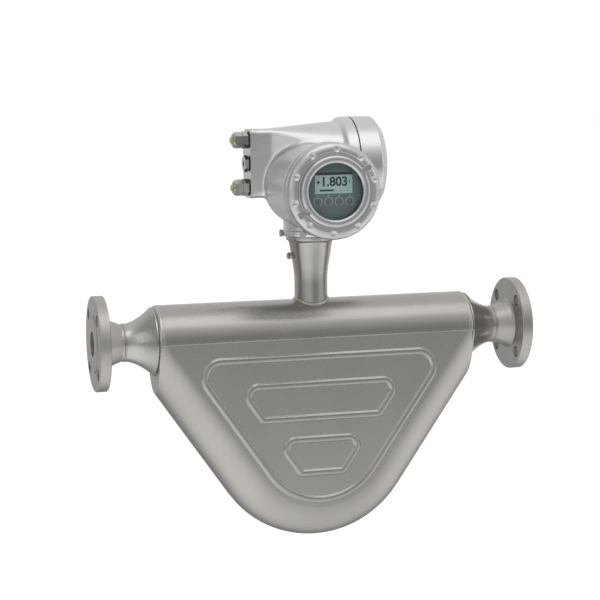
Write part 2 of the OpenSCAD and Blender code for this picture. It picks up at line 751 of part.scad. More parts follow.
// Shallow round dimples for grip, on a circle of radius r at a face's height
module dimples(r, height) {
    for (i = [0:dimple_count - 1])
        rotate(15 + i * 360 / dimple_count) translate([r, 0, height + dimple_d * 0.3])
            sphere(d = dimple_d * 1.2, $fn = 24);
}
cover_bore_r = spigot_display_r + thread_gap;
face_h = display_cover_h - 7.2;
notch_l = 14;
notch_w = 9;
bezel_r = window_r + 12.5;
glass_r = window_r + 6.5;
glass_h = display_cover_h - 4;
module at_display_cover() { at_display() translate([0, 0, display_seam_y + display_seam]) children(); }
module display_cover() {
    color(cast) at_display_cover() difference() {
        rotate_extrude() polygon(concat(
            [[cover_bore_r, 0], [display_r, 0]],
            [for (a = [0:15:90]) [display_r - shoulder_r * (1 - cos(a)), face_h - shoulder_r * (1 - sin(a))]],
            [[bezel_r + 6.5, face_h - 0.5], [bezel_r + 3.5, face_h - 1.6], [bezel_r + 1.2, face_h - 1]],
            [[bezel_r, face_h + 1], [bezel_r - 1, display_cover_h - 2.5]],
            [[bezel_r - 3, display_cover_h - 0.5], [bezel_r - 5.2, display_cover_h]],
            [[window_r + 3.6, display_cover_h], [window_r + 1, display_cover_h - 1]],
            [[window_r, display_cover_h - 2.8], [window_r, glass_h], [glass_r, glass_h]],
            [[glass_r, thread_len], [glass_r + 1, thread_len - 2], [glass_r + 1, thread_len + 1]],
            [[cover_bore_r, thread_len + 1]]
        ));
        oring_groove(cover_bore_r);
        dimples(display_r - 10, face_h);
        for (a = [33, 213])
            rotate(a) translate([glass_r + 2, -notch_w / 2, face_h - 0.6])
                cube([notch_l, notch_w, display_cover_h]);
    }
}
module display_glass() {
    color([0.6, 0.7, 0.7, 0.3]) at_display_cover()
        translate([0, 0, glass_h - seat - glass_t]) cylinder(r = glass_r - clear, h = glass_t);
}
module glass_ring() {
    color(dark) at_display_cover() translate([0, 0, thread_len - 1.6])
        ring(glass_r - seat, window_r + 0.5, glass_h - glass_t - thread_len + 1.4);
}
module display_cover_oring() {
    color(dark) at_display_cover() translate([0, 0, oring_d / 2 - 0.2]) torus(cover_bore_r + 3, oring_d / 2);
}

// ---- terminal compartment ------------------------------------------------------

terminal_bore_r = spigot_terminal_r + thread_gap;
module at_terminal_cover() { at_terminal() translate([0, 0, terminal_seam_x + terminal_seam]) children(); }
module terminal_cover() {
    rim = terminal_cover_h - 12.8;
    color(cast) at_terminal_cover() difference() {
        rotate_extrude() polygon([
            [terminal_bore_r, 0], [terminal_r, 0], [terminal_r, rim], [terminal_r - 1.6, rim + 3],
            [terminal_r - 12, terminal_cover_h - 1], [terminal_r - 14.5, terminal_cover_h],
            [0, terminal_cover_h], [0, terminal_cover_h - 6], [terminal_r - 17, terminal_cover_h - 6],
            [terminal_r - 7, rim - 3], [terminal_bore_r, thread_len + 8]
        ]);
        oring_groove(terminal_bore_r);
        dimples(terminal_r - 5.8, rim + 5.5);
    }
}
module terminal_cover_oring() {
    color(dark) at_terminal_cover() translate([0, 0, oring_d / 2 - 0.9])
        torus(terminal_bore_r + 3, oring_d / 2);
}
block_h = 16;
module terminal_strip() {
    translate([-14, -40, 4]) cube([28, 80, block_h]);
}
module terminal_block() {
    color([0.15, 0.3, 0.2]) at_terminal() translate([0, 0, loft_end_x - 27 + clear]) {
        cylinder(r = terminal_r - 23.5 - clear, h = 4);
        difference() {
            terminal_strip();
            for (i = [-4:4])
                translate([-7, 8 * i, block_h]) cylinder(d = 5.2, h = 5);
        }
    }
}
module terminal_screws() {
    color(bright) at_terminal() translate([0, 0, loft_end_x - 27 + clear])
        for (i = [-4:4])
            translate([-7, 8 * i, block_h + seat]) cylinder(d = 5, h = 3);
}

// ---- cable entries --------------------------------------------------------------

washer_h = 1.8;
gland_base = washer_h + seat;
gland_tube_h = 8;
nut_base = gland_base + gland_body_h + 0.8;
module gland_washer() { color(dark) ring(gland_af / 2 + 1.5, entry_d / 2, washer_h); }
module gland_body() {
    color(bright) difference() {
        union() {
            translate([0, 0, -11]) cylinder(d = entry_d - 2 * seat, h = 11 + gland_base);
            translate([0, 0, gland_base]) hexagon(gland_af, gland_body_h);
            translate([0, 0, gland_base]) cylinder(r = gland_af / 2 - 3, h = gland_body_h + gland_tube_h);
        }
        translate([0, 0, -12]) cylinder(r = 5, h = 60);
    }
}
module gland_nut() {
    tip = 8;
    color(bright) translate([0, 0, nut_base]) intersection() {
        hexagon(gland_af - 1, gland_nut_h);
        rotate_extrude() polygon([
            [gland_af / 2 - 2.7, -0.1], [gland_af / 2 * hex_k - 1, -0.1], [gland_af / 2 * hex_k, 1],
            [gland_af / 2 * hex_k, gland_nut_h - 5], [gland_af / 2 - 0.5, gland_nut_h - 2],
            [gland_af / 2 - 3, gland_nut_h], [6.2, gland_nut_h], [6.2, gland_nut_h - 2.5],
            [gland_af / 2 - 2.7, gland_nut_h - 3.5]
        ]);
    }
}
seal_z = gland_base + gland_body_h + gland_tube_h + clear;
module gland_seal() {
    color(dark) translate([0, 0, seal_z])
        ring(gland_af / 2 - 3, 4.2, nut_base + gland_nut_h - 3.5 - clear - seal_z);
}
module dust_plug() {
    color([0.72, 0.78, 0.2]) translate([0, 0, seal_z]) {
        cylinder(r = 4.1, h = nut_base + gland_nut_h - seal_z);
        translate([0, 0, nut_base + gland_nut_h - seal_z]) cylinder(r1 = 5.8, r2 = 4.6, h = 3);
    }
}
plug_base = oring_d - 0.6;
module blind_plug() {
    color(dark) at_entry(0) {
        translate([0, 0, -9]) cylinder(d = entry_d - 2 * seat, h = 9 + plug_base);
        translate([0, 0, plug_base]) difference() {
            intersection() {
                hexagon(plug_af, 6);
                rotate_extrude() polygon([
                    [0, 0], [plug_af / 2 * hex_k, 0], [plug_af / 2 * hex_k, 4.5],
                    [plug_af / 2 * hex_k - 2, 6], [0, 6]
                ]);
            }
            translate([0, 0, 3]) hexagon(8, 4);
        }
    }
}
module blind_plug_oring() {
    color(dark) at_entry(0) translate([0, 0, plug_base / 2]) rotate_extrude()
        translate([entry_d / 2 + 1, 0]) circle(r = plug_base / 2 - seat, $fn = 32);
}

// ---- assembly ---------------------------------------------------------------------

weld_neck_flange();  // inlet_flange
at_outlet() weld_neck_flange();  // outlet_flange
reducer();  // inlet_reducer
at_outlet() reducer();  // outlet_reducer
end_ring();  // inlet_end_ring
at_outlet() end_ring();  // outlet_end_ring
spar_pipe();
casing_front();
casing_back();
splitter();  // inlet_splitter
at_outlet() splitter();  // outlet_splitter
measuring_tube_front();
measuring_tube_back();
brace_plate();  // inlet_brace_plate
at_outlet() brace_plate();  // outlet_brace_plate
drive_coil();
drive_magnet();
inlet_sensor_coil();
at_outlet() inlet_sensor_coil();  // outlet_sensor_coil
inlet_sensor_magnet();
at_outlet() inlet_sensor_magnet();  // outlet_sensor_magnet
temperature_sensor();
stem();
feedthrough();
ground_terminal();
collar_seal();
transmitter_housing();
collar_screws();
cover_lock_screw();
electronics_carrier();
circuit_boards();
display_module();
lcd_panel();
touch_keys();
display_cover();
display_glass();
glass_ring();
display_cover_oring();
terminal_cover();
terminal_cover_oring();
terminal_block();
terminal_screws();
at_entry(gland_pitch / 2) gland_washer();  // upper_gland_washer
at_entry(gland_pitch / 2) gland_body();  // upper_gland_body
at_entry(gland_pitch / 2) gland_nut();  // upper_gland_nut
at_entry(gland_pitch / 2) gland_seal();  // upper_gland_seal
at_entry(gland_pitch / 2) dust_plug();  // upper_dust_plug
at_entry(-gland_pitch / 2) gland_washer();  // lower_gland_washer
at_entry(-gland_pitch / 2) gland_body();  // lower_gland_body
at_entry(-gland_pitch / 2) gland_nut();  // lower_gland_nut
at_entry(-gland_pitch / 2) gland_seal();  // lower_gland_seal
at_entry(-gland_pitch / 2) dust_plug();  // lower_dust_plug
blind_plug();
blind_plug_oring();
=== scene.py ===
import math

import bmesh
import bpy
from mathutils import Matrix, Vector
from mathutils.bvhtree import BVHTree


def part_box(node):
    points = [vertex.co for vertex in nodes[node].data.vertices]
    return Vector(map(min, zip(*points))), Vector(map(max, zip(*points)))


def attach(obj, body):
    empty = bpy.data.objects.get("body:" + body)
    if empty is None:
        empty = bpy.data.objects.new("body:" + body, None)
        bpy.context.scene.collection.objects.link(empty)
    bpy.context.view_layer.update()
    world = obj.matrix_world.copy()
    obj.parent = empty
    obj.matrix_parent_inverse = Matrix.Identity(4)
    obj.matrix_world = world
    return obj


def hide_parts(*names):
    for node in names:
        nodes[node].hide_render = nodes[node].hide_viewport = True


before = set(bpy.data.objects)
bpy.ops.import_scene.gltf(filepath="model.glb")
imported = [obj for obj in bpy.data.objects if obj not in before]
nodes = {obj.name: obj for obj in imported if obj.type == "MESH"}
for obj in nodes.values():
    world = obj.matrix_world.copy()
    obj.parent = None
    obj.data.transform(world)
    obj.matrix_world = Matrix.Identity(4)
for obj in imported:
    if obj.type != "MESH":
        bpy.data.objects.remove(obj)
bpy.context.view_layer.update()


# ---- Camera ------------------------------------------------------------------
# The meter hangs level between two pipeline flanges. A long lens looks at it from
# the front, from the inlet's side and from a little above the pipe.

pipe_mid = 0.36
camera_data = bpy.data.cameras.new("studio_camera")
camera_data.lens = 105.36
camera_data.sensor_width = 36
camera_data.clip_end = 60
camera = bpy.data.objects.new("studio_camera", camera_data)
bpy.context.collection.objects.link(camera)
camera_place = Vector((pipe_mid - 0.77084, -2.7314, 0.42415))
camera_aim = Vector((pipe_mid - 0.01865, 0, 0.05498))
camera_roll = math.radians(-0.67)
looking = (camera_aim - camera_place).normalized()
level_right = looking.cross(Vector((0, 0, 1))).normalized()
level_up = level_right.cross(looking)
right = math.cos(camera_roll) * level_right + math.sin(camera_roll) * level_up
up = math.cos(camera_roll) * level_up - math.sin(camera_roll) * level_right
camera_turn = Matrix((right, up, -looking)).transposed().to_4x4()
camera.matrix_world = Matrix.Translation(camera_place) @ camera_turn
bpy.context.scene.camera = camera
bpy.context.scene.view_settings.view_transform = "Standard"


# ---- Room --------------------------------------------------------------------
# A white room lights the meter from all round. Metal mirrors it in quieter tones:
# a pale ceiling, brighter side and back walls, and a grey front.


def seen_directly(tree):
    """A number that is 1 for what the camera sees straight, mirrored or through glass."""
    path = tree.nodes.new("ShaderNodeLightPath")
    total = path.outputs["Is Camera Ray"]
    for name in ("Is Glossy Ray", "Is Transmission Ray"):
        add = tree.nodes.new("ShaderNodeMath")
        add.operation = "ADD"
        add.use_clamp = True
        tree.links.new(total, add.inputs[0])
        tree.links.new(path.outputs[name], add.inputs[1])
        total = add.outputs[0]
    return total


def ramp(tree, value, start, end, low, high):
    """Maps a value from start..end to low..high along a smooth step."""
    step = tree.nodes.new("ShaderNodeMapRange")
    step.interpolation_type = "SMOOTHSTEP"
    for socket, number in (("From Min", start), ("From Max", end), ("To Min", low), ("To Max", high)):
        step.inputs[socket].default_value = number
    tree.links.new(value, step.inputs["Value"])
    return step.outputs["Result"]


def calculate(tree, operation, first, second):
    """Joins two values, or a value and a number."""
    sum_node = tree.nodes.new("ShaderNodeMath")
    sum_node.operation = operation
    for socket, value in zip(sum_node.inputs, (first, second)):
        if isinstance(value, (int, float)):
            socket.default_value = value
        else:
            tree.links.new(value, socket)
    return sum_node.outputs[0]


def where_mirrored(tree, tone):
    """How much a tone takes off a white of 1: nothing, except where metal mirrors it."""
    mirrored = tree.nodes.new("ShaderNodeLightPath").outputs["Is Glossy Ray"]
    return calculate(tree, "MULTIPLY", mirrored, calculate(tree, "SUBTRACT", 1, tone))


def wall_tone(tree, x, y):
    """How bright the room is towards a level direction, as metal mirrors it."""
    left = ramp(tree, x, -1, -0.6, 0.4, 0.68)
    middle = ramp(tree, x, -0.5, 0.1, 0, 0.3)
    right = ramp(tree, x, 0.45, 0.9, 0, 0.35)
    back = calculate(tree, "MULTIPLY", ramp(tree, y, 0.3, 0.95, 0, 0.5),
                     ramp(tree, x, -0.35, 0.3, 0.1, 1))
    front = calculate(tree, "SUBTRACT", left, middle)
    return calculate(tree, "ADD", calculate(tree, "ADD", front, right), back)


def dark_front(tree, x, y):
    """The share of a dark stretch in the middle of the front: the room's front wall, and painted shade on
    the floor.
    """
    sides = calculate(tree, "MULTIPLY", ramp(tree, x, -0.05, 0.15, 0, 1),
                      ramp(tree, x, 0.4, 0.6, 1, 0))
    return calculate(tree, "MULTIPLY", ramp(tree, y, -0.75, -0.4, 0.12, 0), sides)


room = bpy.data.worlds.new("white_room")
bpy.context.scene.world = room
room.use_nodes = True
tree = room.node_tree
tree.nodes.clear()
room_light = tree.nodes.new("ShaderNodeBackground")
room_light.inputs["Color"].default_value = (0.96, 0.98, 1, 1)
room_light.inputs["Strength"].default_value = 0.7
room_white = tree.nodes.new("ShaderNodeBackground")
room_white.inputs["Color"].default_value = (1, 1, 1, 1)

direction = tree.nodes.new("ShaderNodeSeparateXYZ")
tree.links.new(tree.nodes.new("ShaderNodeTexCoord").outputs["Generated"], direction.inputs[0])
walls = wall_tone(tree, direction.outputs["X"], direction.outputs["Y"])
ceiling = ramp(tree, direction.outputs["Z"], 0.15, 0.75, 0, 1)
shade = calculate(tree, "MULTIPLY", dark_front(tree, direction.outputs["X"], direction.outputs["Y"]),
                  ramp(tree, direction.outputs["Z"], 0, 0.18, 1, 0))
below = calculate(tree, "MULTIPLY", calculate(tree, "SUBTRACT", walls, shade),
                  calculate(tree, "SUBTRACT", 1, ceiling))
above = calculate(tree, "MULTIPLY", ceiling, ramp(tree, direction.outputs["X"], -0.75, -0.2, 0.45, 0.86))
tone = calculate(tree, "ADD", below, above)
white_share = calculate(tree, "SUBTRACT", 1, where_mirrored(tree, tone))
tree.links.new(white_share, room_white.inputs["Strength"])
mix = tree.nodes.new("ShaderNodeMixShader")
out = tree.nodes.new("ShaderNodeOutputWorld")
tree.links.new(seen_directly(tree), mix.inputs[0])
tree.links.new(room_light.outputs[0], mix.inputs[1])
tree.links.new(room_white.outputs[0], mix.inputs[2])
tree.links.new(mix.outputs[0], out.inputs["Surface"])


# ---- Lamps -------------------------------------------------------------------
# Three soft lamps hang overhead and stand on both sides, all a little in front.
# They are wide and weak, so that the metal keeps soft highlights.


def soft_lamp(name, place, aim, size, power):
    lamp_data = bpy.data.lights.new(name, "AREA")
    lamp_data.shape = "RECTANGLE"
    lamp_data.size, lamp_data.size_y = size
    lamp_data.energy = power
    lamp = bpy.data.objects.new(name, lamp_data)
    bpy.context.collection.objects.link(lamp)
    lamp.location = place
    lamp.rotation_euler = (Vector(aim) - Vector(place)).to_track_quat("-Z", "Y").to_euler()


soft_lamp("overhead_lamp", (pipe_mid + 0.1, -0.9, 2.0), (pipe_mid, 0, 0.05), (2.2, 1.4), 6.5)
soft_lamp("left_lamp", (pipe_mid - 2.0, -1.3, 0.9), (pipe_mid, 0, 0), (1.2, 1.6), 3)
soft_lamp("right_lamp", (pipe_mid + 2.2, -1.0, 0.8), (pipe_mid, 0, 0), (0.8, 1.4), 2)


# ---- Floor -------------------------------------------------------------------
# A plain pale floor lies well below the meter and keeps its shadow.
# Metal mirrors its glow, with light and shade painted in: a painted pool of light near the meter
# and in front of it, painted shade behind it and in the middle of the front, and the walls'
# tones further out.

floor_size, floor_level = 20, -0.9
floor_mesh = bpy.data.meshes.new("pale_floor")
bm = bmesh.new()
bmesh.ops.create_grid(bm, x_segments=1, y_segments=1, size=floor_size)
bmesh.ops.translate(bm, vec=(pipe_mid, 0, floor_level), verts=bm.verts)
bm.to_mesh(floor_mesh)
bm.free()
floor = bpy.data.objects.new("pale_floor", floor_mesh)
bpy.context.collection.objects.link(floor)
floor_paint = bpy.data.materials.new("pale_floor_paint")
floor_paint.use_nodes = True
tree = floor_paint.node_tree
tree.nodes.clear()
matt = tree.nodes.new("ShaderNodeBsdfDiffuse")
matt.inputs["Color"].default_value = (0.42, 0.42, 0.42, 1)
white = tree.nodes.new("ShaderNodeEmission")
white.inputs["Color"].default_value = (0.8, 0.8, 0.8, 1)
place = tree.nodes.new("ShaderNodeVectorMath")
place.operation = "SUBTRACT"
place.inputs[1].default_value = (pipe_mid, 0, 0)
tree.links.new(tree.nodes.new("ShaderNodeTexCoord").outputs["Object"], place.inputs[0])
away = tree.nodes.new("ShaderNodeVectorMath")
away.operation = "LENGTH"
tree.links.new(place.outputs[0], away.inputs[0])
level = tree.nodes.new("ShaderNodeVectorMath")
level.operation = "NORMALIZE"
tree.links.new(place.outputs[0], level.inputs[0])
direction = tree.nodes.new("ShaderNodeSeparateXYZ")
tree.links.new(level.outputs[0], direction.inputs[0])
walls = wall_tone(tree, direction.outputs["X"], direction.outputs["Y"])
# Painted light: a pool of light painted into the floor's mirrored glow, brightest near the meter and in
# front of it.
near = calculate(tree, "MULTIPLY", ramp(tree, away.outputs["Value"], 1.2, 8, 0.78, 0),
                 ramp(tree, direction.outputs["Y"], -0.3, 0.8, 1, 0.2))
# Painted shade: the mirrored glow is darkened behind the meter, and with dark_front in the middle of the
# front.
behind = calculate(tree, "MULTIPLY", ramp(tree, away.outputs["Value"], 2, 6, 0.45, 0),
                   ramp(tree, direction.outputs["Y"], 0, 0.6, 0, 1))
dark = calculate(tree, "ADD", behind, dark_front(tree, direction.outputs["X"], direction.outputs["Y"]))
far = calculate(tree, "SUBTRACT", calculate(tree, "SUBTRACT", walls, dark), 0.3)
tone = calculate(tree, "MAXIMUM", calculate(tree, "ADD", near, far), 0)
white_share = calculate(tree, "SUBTRACT", seen_directly(tree), where_mirrored(tree, tone))
tree.links.new(white_share, white.inputs["Strength"])
both = tree.nodes.new("ShaderNodeAddShader")
out = tree.nodes.new("ShaderNodeOutputMaterial")
tree.links.new(matt.outputs[0], both.inputs[0])
tree.links.new(white.outputs[0], both.inputs[1])
tree.links.new(both.outputs[0], out.inputs["Surface"])
floor.data.materials.append(floor_paint)


# ---- Flanges, reducers and end rings -----------------------------------------
# Weld neck flanges, flared reducers and end rings, turned from forged stainless steel.
# They are welded in line, and the turning tool leaves fine rings round the pipe axis.


def noise(tree, coordinate, scale, detail=3, stretch=(1, 1, 1)):
    mapping = tree.nodes.new("ShaderNodeMapping")
    mapping.inputs["Scale"].default_value = stretch
    tree.links.new(coordinate, mapping.inputs["Vector"])
    cloud = tree.nodes.new("ShaderNodeTexNoise")
    cloud.inputs["Scale"].default_value = scale
    cloud.inputs["Detail"].default_value = detail
    tree.links.new(mapping.outputs[0], cloud.inputs["Vector"])
    return cloud.outputs["Fac"]


def spread(tree, value, low, high):
    """Maps the middle of a noise onto the range from low to high."""
    step = tree.nodes.new("ShaderNodeMapRange")
    for socket, number in (("From Min", 0.3), ("From Max", 0.7), ("To Min", low), ("To Max", high)):
        step.inputs[socket].default_value = number
    tree.links.new(value, step.inputs["Value"])
    return step.outputs["Result"]


def tint(tree, value, dark, light):
    blend = tree.nodes.new("ShaderNodeMix")
    blend.data_type = "RGBA"
    blend.inputs["A"].default_value = (*dark, 1)
    blend.inputs["B"].default_value = (*light, 1)
    tree.links.new(value, blend.inputs["Factor"])
    return blend.outputs["Result"]


def relief(tree, value, depth):
    bump = tree.nodes.new("ShaderNodeBump")
    bump.inputs["Strength"].default_value = 1
    bump.inputs["Distance"].default_value = depth
    tree.links.new(value, bump.inputs["Height"])
    return bump.outputs["Normal"]


cloud_scale, rough_spread = 14, 0.05


def metal(name, colour, rough, variation=0.12, grain=900, stretch=(1, 1, 1), grain_depth=0.00002):
    """A steel finish: colour in soft clouds, grain that can be drawn out along one axis."""
    material = bpy.data.materials.new(name)
    material.use_nodes = True
    tree = material.node_tree
    shader = tree.nodes["Principled BSDF"]
    shader.inputs["Metallic"].default_value = 1
    coordinate = tree.nodes.new("ShaderNodeTexCoord").outputs["Object"]
    cloud = noise(tree, coordinate, cloud_scale)
    fine = noise(tree, coordinate, grain, 2, stretch)
    dark = [c * (1 - variation) for c in colour]
    light = [min(c * (1 + variation), 1) for c in colour]
    tree.links.new(tint(tree, spread(tree, cloud, 0, 1), dark, light), shader.inputs["Base Color"])
    tree.links.new(spread(tree, fine, rough - rough_spread, rough + rough_spread),
                   shader.inputs["Roughness"])
    tree.links.new(relief(tree, fine, grain_depth), shader.inputs["Normal"])
    return material


def dress(material, *names):
    """Gives solids their finish."""
    for name in names:
        slots = nodes[name].data.materials
        slots.clear()
        slots.append(material)


tool_marks, round_the_pipe = 260, (1, 0.02, 0.02)
turned_steel = metal("turned_steel", (0.46, 0.445, 0.425), 0.24, 0.04, tool_marks, round_the_pipe,
                     0.00000003)
dress(turned_steel, "inlet_reducer", "outlet_reducer", "inlet_end_ring", "outlet_end_ring",
      "inlet_splitter", "outlet_splitter", "inlet_brace_plate", "outlet_brace_plate")
flange_steel = metal("flange_steel", (0.45, 0.43, 0.41), 0.4, 0.04, tool_marks, round_the_pipe,
                     0.0000001)
dress(flange_steel, "inlet_flange", "outlet_flange")


# ---- Spar pipe and casing ----------------------------------------------------
# A drawn spar pipe carries two pressed sheet shells, welded to it and to each other.
# Everything is glass-blasted and pickled, which leaves a satin warm grey.

blasted = 700
casing_steel = metal("casing_steel", (0.41, 0.393, 0.372), 0.3, 0.03, blasted, grain_depth=0.0000003)
dress(casing_steel, "spar_pipe", "casing_front", "casing_back")


# ---- Stem --------------------------------------------------------------------
# A thick-walled neck between the spar pipe and the transmitter, turned from bar with
# a soft start to its flare, and welded to the spar pipe at its foot.

stem_steel = metal("stem_steel", (0.42, 0.405, 0.385), 0.24, 0.03, blasted, grain_depth=0.0000005)
dress(stem_steel, "stem")


def finished(name, mesh, material, body, smooth=True):
    """Puts a mesh into the scene as a piece that rides on a body."""
    if smooth:
        for face in mesh.polygons:
            face.use_smooth = True
    piece = bpy.data.objects.new(name, mesh)
    bpy.context.collection.objects.link(piece)
    piece.data.materials.append(material)
    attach(piece, body)
    return piece


def mesh_of(bm, name):
    """Merges a bmesh's doubles, turns its faces outwards and makes it a mesh."""
    bmesh.ops.remove_doubles(bm, verts=bm.verts, dist=1e-6)
    bmesh.ops.recalc_face_normals(bm, faces=bm.faces)
    mesh = bpy.data.meshes.new(name)
    bm.to_mesh(mesh)
    bm.free()
    return mesh


# The turned profile as (radius, height): down the bore, round the foot and up the flare.
stem_radius, stem_bore, stem_foot, stem_top = 0.0268, 0.0228, 0.0495, 0.176
flare_low, flare_high, flare_slope = 0.083, 0.115, 0.0087 / 0.052
flare_rise, flare_steps = flare_high - flare_low, 10
stem_profile = [(stem_bore, stem_top), (stem_bore, stem_foot), (stem_radius, stem_foot),
                (stem_radius, 0.066)]
for step in range(flare_steps + 1):
    rise = flare_rise * step / flare_steps
    stem_profile.append((stem_radius + flare_slope * rise ** 2 / 2 / flare_rise, flare_low + rise))
stem_profile += [(0.03215, 0.131), (0.0352, 0.1492), (0.0358, 0.1509), (0.0372, 0.1526), (0.0397, 0.1537),
                 (0.04, 0.1543), (0.04, 0.1597), (0.0397, 0.16), (0.033, 0.16), (0.033, 0.175),
                 (0.032, stem_top)]
bm = bmesh.new()
corners = [bm.verts.new((pipe_mid + radius, 0, z)) for radius, z in stem_profile]
edges = [bm.edges.new((corners[i - 1], corners[i])) for i in range(len(corners))]
bmesh.ops.spin(bm, geom=corners + edges, cent=(pipe_mid, 0, 0), axis=(0, 0, 1), angle=math.tau,
               steps=160, use_merge=True)
stem = finished("stem_turned", mesh_of(bm, "stem_turned"), stem_steel, "sensor")
stem.data.set_sharp_from_angle(angle=math.radians(40))
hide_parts("stem")


# ---- Weld beads --------------------------------------------------------------
# Fine bright beads: round the pipe joints, round the stem's foot, and along the line
# where each shell's flat panel and end plates meet the spar pipe.

weld_steel = metal("weld_steel", (0.45, 0.43, 0.4), 0.3, 0.1, 500, grain_depth=0.00001)
bead_sides, bead_steps = 10, 96


def bead_ring(bm, radius, thickness):
    """Starts a bmesh with a ring of round section about Z, at the origin."""
    made = bmesh.ops.create_circle(bm, segments=bead_sides, radius=thickness)
    bmesh.ops.rotate(bm, verts=made["verts"], cent=(0, 0, 0), matrix=Matrix.Rotation(math.pi / 2, 3, "X"))
    bmesh.ops.translate(bm, verts=made["verts"], vec=(radius, 0, 0))
    bmesh.ops.spin(bm, geom=made["verts"] + bm.edges[:], cent=(0, 0, 0), axis=(0, 0, 1),
                   angle=math.tau, steps=bead_steps, use_merge=True)


def pipe_bead(name, x, radius, thickness):
    """A bead round the pipe's axis at a distance from the inlet."""
    bm = bmesh.new()
    bead_ring(bm, radius, thickness)
    bmesh.ops.rotate(bm, verts=bm.verts, cent=(0, 0, 0), matrix=Matrix.Rotation(math.pi / 2, 3, "Y"))
    bmesh.ops.translate(bm, verts=bm.verts, vec=(x, 0, 0))
    finished(name, mesh_of(bm, name), weld_steel, "sensor")


pipe_end = 0.72
neck_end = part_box("inlet_flange")[1].x
spar_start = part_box("spar_pipe")[0].x
neck_radius, neck_bead, neck_sunk = 0.03015, 0.0016, 0.0006
spar_radius, ring_bead, ring_sunk = 0.05715, 0.0014, 0.001
for side, place in (("inlet", lambda x: x), ("outlet", lambda x: pipe_end - x)):
    pipe_bead(side + "_neck_weld", place(neck_end), neck_radius - neck_sunk, neck_bead)
    pipe_bead(side + "_ring_weld", place(spar_start), spar_radius - ring_sunk, ring_bead)

# The bead round the stem's foot follows the spar pipe's round back.
foot_bead, foot_out, foot_up = 0.0026, 0.0006, 0.0004
stem_weld = bmesh.new()
bead_ring(stem_weld, stem_radius + foot_out, foot_bead)
for vert in stem_weld.verts:
    across = vert.co.y
    vert.co.z += math.sqrt(spar_radius ** 2 - across ** 2) + foot_up
bmesh.ops.translate(stem_weld, verts=stem_weld.verts, vec=(pipe_mid, 0, 0))
finished("stem_weld", mesh_of(stem_weld, "stem_weld"), weld_steel, "sensor")


def bead_along(name, points, thickness):
    """A bead of round section along a closed line of points."""
    line = bpy.data.curves.new(name, "CURVE")
    line.dimensions = "3D"
    line.bevel_depth = thickness
    line.bevel_resolution = 2
    path = line.splines.new("POLY")
    path.points.add(len(points) - 1)
    for spot, co in zip(path.points, points):
        spot.co = (*co, 1)
    path.use_cyclic_u = True
    shape = bpy.data.objects.new(name, line)
    mesh = bpy.data.meshes.new_from_object(shape)
    mesh.name = name
    bpy.data.objects.remove(shape)
    return mesh


# The shells' bead runs along both sides of the spar pipe and under it at both ends.
shell_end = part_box("casing_front")[0].x
shell_bead, shell_weld_in, shell_weld_out, shell_weld_up = 0.0011, 0.0012, 0.0006, 0.0003
arc_steps = 24
arc_radius = spar_radius + shell_weld_out
loop = []
for x, turns in ((shell_end + shell_weld_in, range(arc_steps + 1)),
                 (pipe_end - shell_end - shell_weld_in, range(arc_steps, -1, -1))):
    for step in turns:
        angle = math.pi * step / arc_steps
        loop.append((x, -arc_radius * math.cos(angle), -arc_radius * math.sin(angle) + shell_weld_up))
shell_weld = bead_along("shell_weld", loop, shell_bead)
finished("shell_weld", shell_weld, weld_steel, "sensor")


# ---- Pressed beads -----------------------------------------------------------
# Three stiffening beads a side, pressed out of the shells' flat panels with soft flanks.
# A long one runs round the panel's edge and two shorter ones lie inside it.

panel_y = spar_radius + 0.0005
# Half a bead across as (distance from its middle, height), and its mirror image.
bead_profile = ((0.0063, -0.0003), (0.0056, 0.0003), (0.005, 0.0009), (0.0044, 0.0016),
                (0.0037, 0.0022), (0.0029, 0.0026), (0.0018, 0.0028), (0, 0.0028))
bead_profile += tuple((-across, height) for across, height in reversed(bead_profile[:-1]))


def rounded_outline(corners, step=math.radians(6)):
    """Places and outward directions along a closed outline of corners (x, z, radius)."""
    line = []
    for index, (x, z, radius) in enumerate(corners):
        corner = Vector((x, z))
        before = (corner - Vector(corners[index - 1][:2])).normalized()
        after = (Vector(corners[(index + 1) % len(corners)][:2]) - corner).normalized()
        turn = before.angle_signed(after)
        centre = corner + (after - before).normalized() * radius / math.cos(turn / 2)
        count = max(2, round(abs(turn) / step))
        outward = Vector((before.y, -before.x)) * (1 if turn < 0 else -1)
        for part in range(count + 1):
            out_here = outward.copy()
            out_here.rotate(Matrix.Rotation(-turn * part / count, 2))
            line.append((centre + out_here * radius, out_here))
    return line


def pressed_bead(bm, corners, side):
    """One closed bead along an outline, on the front (-1) or the back (1)."""
    rows = []
    for place, outward in rounded_outline(corners):
        rows.append([bm.verts.new((pipe_mid + place.x + outward.x * across, side * (panel_y + height),
                                   place.y + outward.y * across)) for across, height in bead_profile])
    for row, after in zip(rows, rows[1:] + rows[:1]):
        for i in range(len(row) - 1):
            bm.faces.new((row[i], row[i + 1], after[i + 1], after[i]))


slope = math.radians(55.5)
edge_line = 0.2508 * math.sin(slope)


def on_slope(inset, z):
    """How far from the middle the casing's slope is at a height, moved in by an inset."""
    return (edge_line - inset + z * math.cos(slope)) / math.sin(slope)


def four_corners(inset, top, bottom, r_top, r_bottom):
    """A bead's outline between the slopes, from a top height to a bottom height."""
    return ((on_slope(inset, top), top, r_top), (-on_slope(inset, top), top, r_top),
            (-on_slope(inset, bottom), bottom, r_bottom), (on_slope(inset, bottom), bottom, r_bottom))


